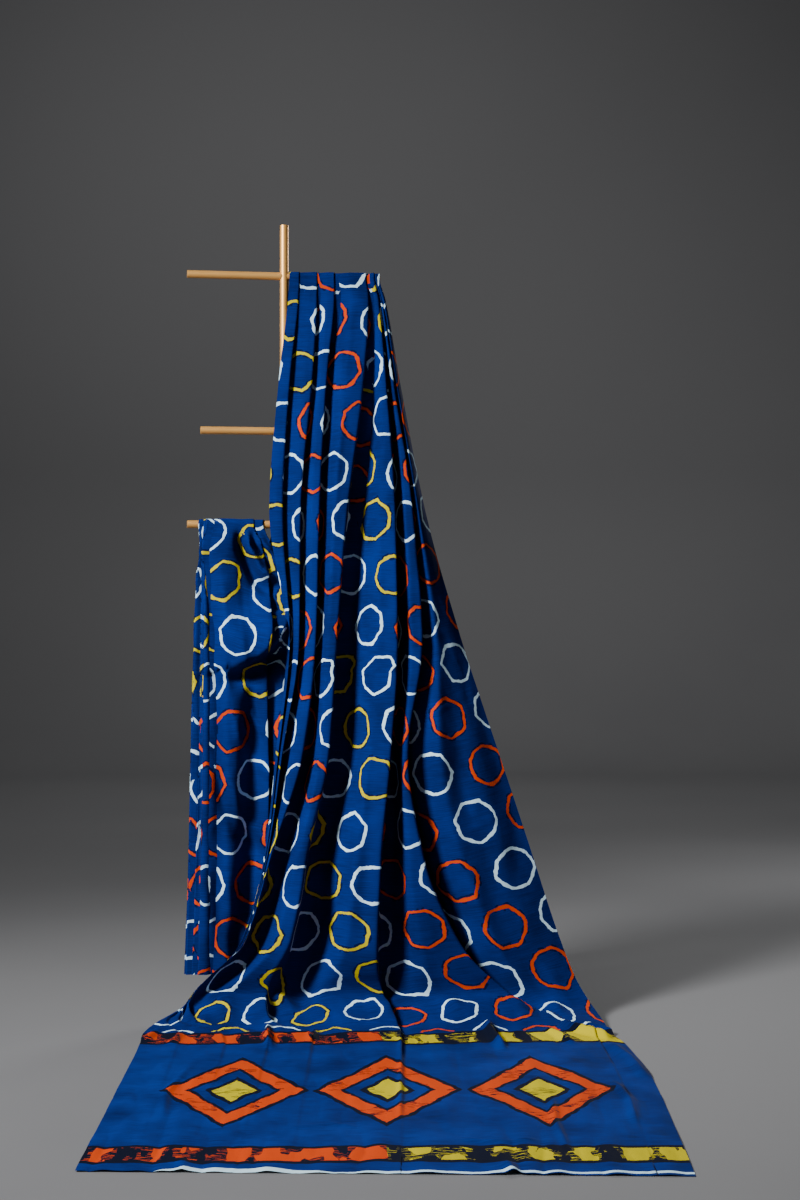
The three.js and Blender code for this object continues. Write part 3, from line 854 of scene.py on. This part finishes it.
def ring_colour(g, column, row):
    """White in every second column, and yellow or orange between, by the ring's place."""
    middle_u = g.times(g.add(g.add(column, g.times(row, 0.5)), RING_PHASE), RING_PITCH)
    middle_v = g.add(g.times(row, -ROW_PITCH), -LOWEST_ROW)
    white = g.less(g.math("FLOORED_MODULO", column, 2.0), 0.5)
    inside = g.between(YELLOW_EDGE, middle_u, UPPER_ORANGE)
    upper_orange = g.both(inside, g.less(UPPER_ROWS, middle_v))
    on_fan = g.either(g.less(RING_CHANGE, middle_u), upper_orange)
    on_end = g.less(SHORT_END_CHANGE, middle_v)
    at_end = g.less(SHORT_END, middle_v)
    orange = g.add(g.times(on_fan, g.minus(1.0, at_end)), g.times(on_end, at_end))
    return white, g.blend(white, g.blend(orange, YELLOW, ORANGE), WHITE)


def ring_print(g, u, v):
    """Rings in rows, each shifted by half a pitch. Gives the strokes, inked edges and colours."""
    down = g.over(g.add(v, LOWEST_ROW), -ROW_PITCH)
    row = g.math("ROUND", down)
    shifted = g.minus(g.over(u, RING_PITCH), g.add(g.times(row, 0.5), RING_PHASE))
    column = g.math("ROUND", shifted)
    number = {"Vector": g.vector(column, row)}
    own = g.node("ShaderNodeTexWhiteNoise", number, noise_dimensions="3D")
    chance = g.node("ShaderNodeSeparateColor", {"Color": own.outputs["Color"]}).outputs
    side = g.times(g.minus(shifted, column), RING_PITCH)
    side = g.add(side, g.spread(chance[0], RING_STRAY))
    below = g.times(g.minus(down, row), ROW_PITCH)
    below = g.add(below, g.spread(chance[1], RING_STRAY))
    # A place of its own in the noise for each ring, so that no two are alike.
    place = g.vector(g.add(side, g.times(column, 0.37)), g.add(below, g.times(row, 0.53)),
                     chance[2])

    off = ring_outline(g, side, below, place, chance)
    width = g.times(STROKE / 2, g.add(LEAST_STROKE, g.times(g.noise(place, 45.0), MORE_STROKE)))
    inked = g.add(width, g.times(INK_EDGE, g.fade(g.noise(place, 70.0, 1.0), 0.35, 0.6)))
    stroke = g.fade(off, g.add(width, SOFT_EDGE), g.add(width, -SOFT_EDGE))
    edge = g.fade(off, g.add(inked, SOFT_EDGE), g.add(inked, -SOFT_EDGE))
    white, colour = ring_colour(g, column, row)
    return stroke, g.times(edge, g.minus(1.0, white)), colour


# %% The stripes
STRIPE_CHANGE = 0.59         # where the stripes' orange gives way to yellow
RAGGED, RAGGED_CHANGE = 0.016, 0.02  # how uneven the long edges and the change of colour are
UPPER_LINE, LOWER_LINE = 0.015, 0.017        # widths of the black lines along the edges
BEATS, BEAT_STRAY, BEAT = 11.5, 5.0, 0.07    # dabs in a metre: how many, how uneven, how dark
DRY_STREAK, DRY_BOUT, HEAVY_BOUT = 0.43, 0.47, 0.575     # noise from which the ink shows


def stretched_noise(g, u, v, across, along, layer, detail=2.0):
    """Noise with so many bends in a metre across and along the cloth."""
    return g.noise(g.vector(g.times(u, across), g.times(v, along), layer), 1.0, detail)


def stripe_print(g, u, v, upper):
    """A brushed stripe under the height upper. Gives the painted part, its ink and the colours."""
    ragged = g.noise(g.vector(g.times(u, 14.0), upper), 1.0, 3.0)
    into = g.add(g.minus(upper, v), g.spread(ragged, RAGGED))
    whole = g.between(0.0, into, STRIPE)
    inner = g.between(UPPER_LINE, into, STRIPE - LOWER_LINE)
    streaks = stretched_noise(g, u, v, 30.0, 230.0, upper)
    bouts = stretched_noise(g, u, v, 19.0, 6.0, upper + 5.0)
    beat = g.math("SINE", g.add(g.times(u, 2 * math.pi * BEATS), g.times(bouts, BEAT_STRAY)))
    bouts = g.add(bouts, g.times(beat, BEAT))
    dry = g.both(g.less(DRY_STREAK, streaks), g.less(DRY_BOUT, bouts))
    ink = g.either(g.minus(1.0, inner), g.either(dry, g.less(HEAVY_BOUT, bouts)))
    change = g.add(STRIPE_CHANGE, g.spread(ragged, RAGGED_CHANGE))
    return whole, ink, g.blend(g.less(change, u), ORANGE, YELLOW)


# %% The large figures of the plain field: open lozenges in a row, a small one inside each
FIELD_MIDDLE = -STRIPE - PLAIN_FIELD / 2
LOZENGES = 3
LOZENGE_PITCH = 0.335
LOZENGE_HALF_WIDTH = 0.150
LOZENGE_HALF_HEIGHT = 0.285
# Where each part begins and ends, as shares of the way from a lozenge's middle to its edge.
OPEN_INK, OPEN_PAINT = (0.62, 1.09), (0.69, 1.0)
SMALL_INK, SMALL_PAINT, COLOUR_CHANGE = 0.42, 0.32, 0.55
UNSTEADY = 0.16


def lozenge_print(g, u, v):
    """Open lozenges in a row. Gives the painted part, its ink and the colours."""
    from_middle = g.over(g.add(u, -CLOTH_WIDTH / 2), LOZENGE_PITCH)
    number = g.math("ROUND", from_middle)
    side = g.times(g.minus(from_middle, number), LOZENGE_PITCH)
    reach = g.add(g.over(g.math("ABSOLUTE", side), LOZENGE_HALF_WIDTH),
                  g.over(g.math("ABSOLUTE", g.add(v, -FIELD_MIDDLE)), LOZENGE_HALF_HEIGHT))
    reach = g.add(reach, g.spread(g.noise(g.vector(u, v, 3.0), 16.0, 3.0), UNSTEADY))
    open_ink, open_paint = (g.between(start, reach, stop) for start, stop in (OPEN_INK, OPEN_PAINT))
    painted = g.either(open_paint, g.less(reach, SMALL_PAINT))
    streaks = stretched_noise(g, u, v, 24.0, 220.0, 9.0)
    dry = g.both(g.less(0.56, streaks), g.less(0.54, g.noise(g.vector(u, v, 4.0), 11.0)))
    in_row = g.less(g.math("ABSOLUTE", number), LOZENGES / 2)
    whole = g.times(in_row, g.either(open_ink, g.less(reach, SMALL_INK)))
    ink = g.either(g.minus(1.0, painted), dry)
    return whole, ink, g.blend(g.less(reach, COLOUR_CHANGE), ORANGE, YELLOW)


# %% [markdown]
# ## The cotton
#
# Plain-woven cotton is matt: its threads catch the light in all directions, so it needs a high
# roughness and hardly any gloss. The layers of print lie on the dyed ground in the order in
# which they were made, and a bump holds the threads, their thick places and the small crumples.

# %% The cotton
CUT_END = float(np.mean(fan_v[0]))
PAINTED_LIGHT_STARTS = -0.04         # below this, on the end on the floor, the ground gets a painted light
RINGS_START = 0.006          # and above this the rings are printed
EDGE_INK = 0.75              # how dark the rings' outlines are
HEM_UNDER = 0.003            # how far the white hem runs on under the middle of the cut end
HEM, HEM_UNEVEN, HEM_WIDER = 0.006, 0.014, 0.026     # its width, and how much is added to it
THREAD = 0.0011              # from one thread to the next
THREAD_BUMP, SLUB_BUMP, CRUMPLE = 0.00004, 0.0001, 0.0030    # metres


def printed_cotton():
    g = Graph("printed cotton")
    flat = g.node("ShaderNodeUVMap", uv_map="cloth").outputs[0]
    split = g.node("ShaderNodeSeparateXYZ", {"Vector": flat})
    u, v = split.outputs["X"], split.outputs["Y"]

    dye = stretched_noise(g, u, v, 7.0, 7.0, 1.0, 4.0)
    slubs = stretched_noise(g, u, v, 18.0, 420.0, 2.0, 3.0)
    depth = g.add(g.times(dye, 0.7), g.times(slubs, 0.6))
    # Painted light: the end on the floor gets a lighter blue than the rest, which stands for the
    # light on it, not for a dye.
    ground_and_painted_light = g.blend(g.less(v, PAINTED_LIGHT_STARTS), COBALT, PAINTED_LIGHT_BLUE)
    colour = g.blend(g.fade(depth, 0.35, 0.95), DEEP_BLUE, ground_and_painted_light)

    stroke, edge, ring_paint = ring_print(g, u, v)
    printed = g.less(RINGS_START, v)
    colour = g.blend(g.times(g.times(edge, printed), EDGE_INK), colour, INK)
    colour = g.blend(g.times(stroke, printed), colour, ring_paint)

    whole, ink, paint = lozenge_print(g, u, v)
    in_field = g.between(-STRIPE - PLAIN_FIELD, v, -STRIPE)
    colour = g.blend(g.times(whole, in_field), colour, g.blend(ink, paint, INK))
    for upper in (0.0, -STRIPE - PLAIN_FIELD):
        whole, ink, paint = stripe_print(g, u, v, upper)
        colour = g.blend(whole, colour, g.blend(ink, paint, INK))

    # The white hem: narrow and uneven, and wider towards the left.
    uneven = g.noise(g.vector(g.times(u, 5.0), 0.3, 6.0), 1.0, 3.0)
    wider = g.both(g.fade(u, 0.10, 0.22), g.fade(u, 0.50, 0.36))
    hem = g.add(g.add(HEM, g.times(HEM_UNEVEN, uneven)), g.times(HEM_WIDER, wider))
    above_cut = g.minus(g.add(v, HEM_UNDER), CUT_END)
    colour = g.blend(g.between(0.0, above_cut, hem), colour, WHITE)

    warp = g.math("SINE", g.times(u, 2 * math.pi / THREAD))
    weft = g.math("SINE", g.times(v, 2 * math.pi / THREAD))
    height = g.add(g.times(g.times(warp, weft), THREAD_BUMP), g.times(slubs, SLUB_BUMP))
    crumple = g.noise(g.vector(g.times(u, 22.0), g.times(v, 9.0), 4.0), 1.0, 3.0, 0.55)
    height = g.add(height, g.times(crumple, CRUMPLE))
    g.shader.inputs["Sheen Weight"].default_value = 0.02
    g.shader.inputs["Sheen Roughness"].default_value = 0.4
    g.shader.inputs["Specular IOR Level"].default_value = 0.06
    rough = g.add(0.78, g.times(slubs, 0.16))
    return g.finish(base_color=colour, roughness=rough, normal=g.bump(height, 0.6))


# %% [markdown]
# ## The stand's lacquer
#
# Gold lacquer on steel: a colour that is half metal, with slow clouds in its roughness and a
# fine grain in its bump, so that the long highlight on each tube isn't perfectly even.

# %% The lacquer
def gold_lacquer():
    g = Graph("gold lacquer")
    place = g.node("ShaderNodeTexCoord").outputs["Object"]
    grain = g.noise(place, 900.0, 2.0)
    clouds = g.noise(place, 14.0, 2.0)
    colour = g.blend(clouds, linear(246, 180, 96), linear(252, 192, 110))
    g.shader.inputs["Metallic"].default_value = 0.55
    rough = g.add(0.34, g.times(clouds, 0.12))
    bump = g.bump(g.times(grain, 0.00004), 0.4)
    return g.finish(base_color=colour, roughness=rough, normal=bump)


cotton = printed_cotton()
gold = gold_lacquer()
print("materials:", cotton.name, len(cotton.node_tree.nodes), gold.name, len(gold.node_tree.nodes))

for piece in pieces.values():
    piece.data.materials.append(cotton)
for name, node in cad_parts.items():
    if name not in pieces:
        node.data.materials.clear()
        node.data.materials.append(gold)

# %% Each stretch goes under the root, and the wall it stands for is hidden
for node, (_, along, _), first, last, held, rests_on in STRETCHES:
    piece = pieces[node]
    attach(piece, "root")
    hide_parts(node)

# %% [markdown]
# ## The studio
#
# One sheet of pale grey paper is the floor and, swept up far behind, the backdrop. The key light
# stands in front at the left, so that each pleat shades the valley to its right. A weak one in
# front keeps the valleys from going black, one behind shows the back, and the floor and the
# backdrop have one each, so that the paper stays lighter than its shadows.

# %% Floor and backdrop
PAPER_FRONT = -12.0          # Y of its front edge
PAPER_HALF_WIDTH = 14
SWEEP_START = 7.0            # Y at which the paper begins to rise
SWEEP_RADIUS = 2.0
SWEEP_TOP = 8.0
SWEEP_STEPS = 16
profile = [(PAPER_FRONT, 0.0)]
for step in range(SWEEP_STEPS + 1):
    turn = math.radians(90 * step / SWEEP_STEPS)
    rise = SWEEP_RADIUS * (1 - math.cos(turn))
    profile.append((SWEEP_START + SWEEP_RADIUS * math.sin(turn), rise))
profile.append((SWEEP_START + SWEEP_RADIUS, SWEEP_TOP))
floor_mesh = bpy.data.meshes.new("floor")
floor_mesh.from_pydata(
    [(x, y, z) for x in (-PAPER_HALF_WIDTH, PAPER_HALF_WIDTH) for y, z in profile], [],
    [(k, k + len(profile), k + len(profile) + 1, k + 1) for k in range(len(profile) - 1)],
)
floor_mesh.shade_smooth()
floor = new_object("floor", floor_mesh)
print("paper faces:", len(floor_mesh.polygons))


def pale_paper():
    g = Graph("pale paper")
    place = g.node("ShaderNodeTexCoord").outputs["Object"]
    clouds = g.noise(place, 0.9, 3.0)
    grain = g.noise(place, 260.0, 2.0)
    colour = g.blend(clouds, linear(112, 112, 114), linear(120, 120, 121))
    rough = g.add(0.6, g.times(clouds, 0.2))
    bump = g.bump(g.times(grain, 0.0002), 0.2)
    return g.finish(base_color=colour, roughness=rough, normal=bump)


floor_mesh.materials.append(pale_paper())

# %% Lights
Light = namedtuple("Light", "name place aim size watts spread")
LIGHTS = (
    Light("key", (-3.0, -3.1, 3.5), (0.2, -0.3, 0.8), size=(1.1, 1.3), watts=132, spread=90),
    Light("behind", (1.8, 2.6, 2.4), (0.1, 0.1, 1.1), size=(1.0, 1.0), watts=12, spread=90),
    Light("floor", (3.6, 3.4, 3.8), (2.4, 1.7, 0.0), size=(1.6, 1.6), watts=12, spread=60),
    Light("backdrop", (-0.5, 3.6, 5.4), (0.3, 9.0, 1.6), size=(5.0, 1.0), watts=100, spread=150),
    Light("fill", (1.2, -5.6, 2.0), (0.3, -0.3, 0.9), size=(2.0, 2.0), watts=2, spread=110),
)
for light in LIGHTS:
    lamp = bpy.data.lights.new(light.name, "AREA")
    lamp.shape = "RECTANGLE"
    lamp.size, lamp.size_y = light.size
    lamp.energy = light.watts
    lamp.spread = math.radians(light.spread)
    stand = new_object(light.name, lamp)
    stand.location = light.place
    way = Vector(light.aim) - Vector(light.place)
    stand.rotation_euler = way.to_track_quat("-Z", "Y").to_euler()

world = bpy.context.scene.world or bpy.data.worlds.new("studio")
bpy.context.scene.world = world
world.use_nodes = True
background = world.node_tree.nodes["Background"].inputs
background["Color"].default_value = (0.62, 0.64, 0.68, 1)
background["Strength"].default_value = 0.04
print("lights:", len(LIGHTS))

# %% Camera
CAMERA_PLACE = (0.30, -5.18, 1.07)
camera_data = bpy.data.cameras.new("camera")
camera_data.sensor_width = 36
camera_data.lens = 60
camera = new_object("camera", camera_data)
camera.location = CAMERA_PLACE
camera.rotation_euler = (math.radians(90), 0, 0)      # level, looking along +Y
bpy.context.scene.camera = camera
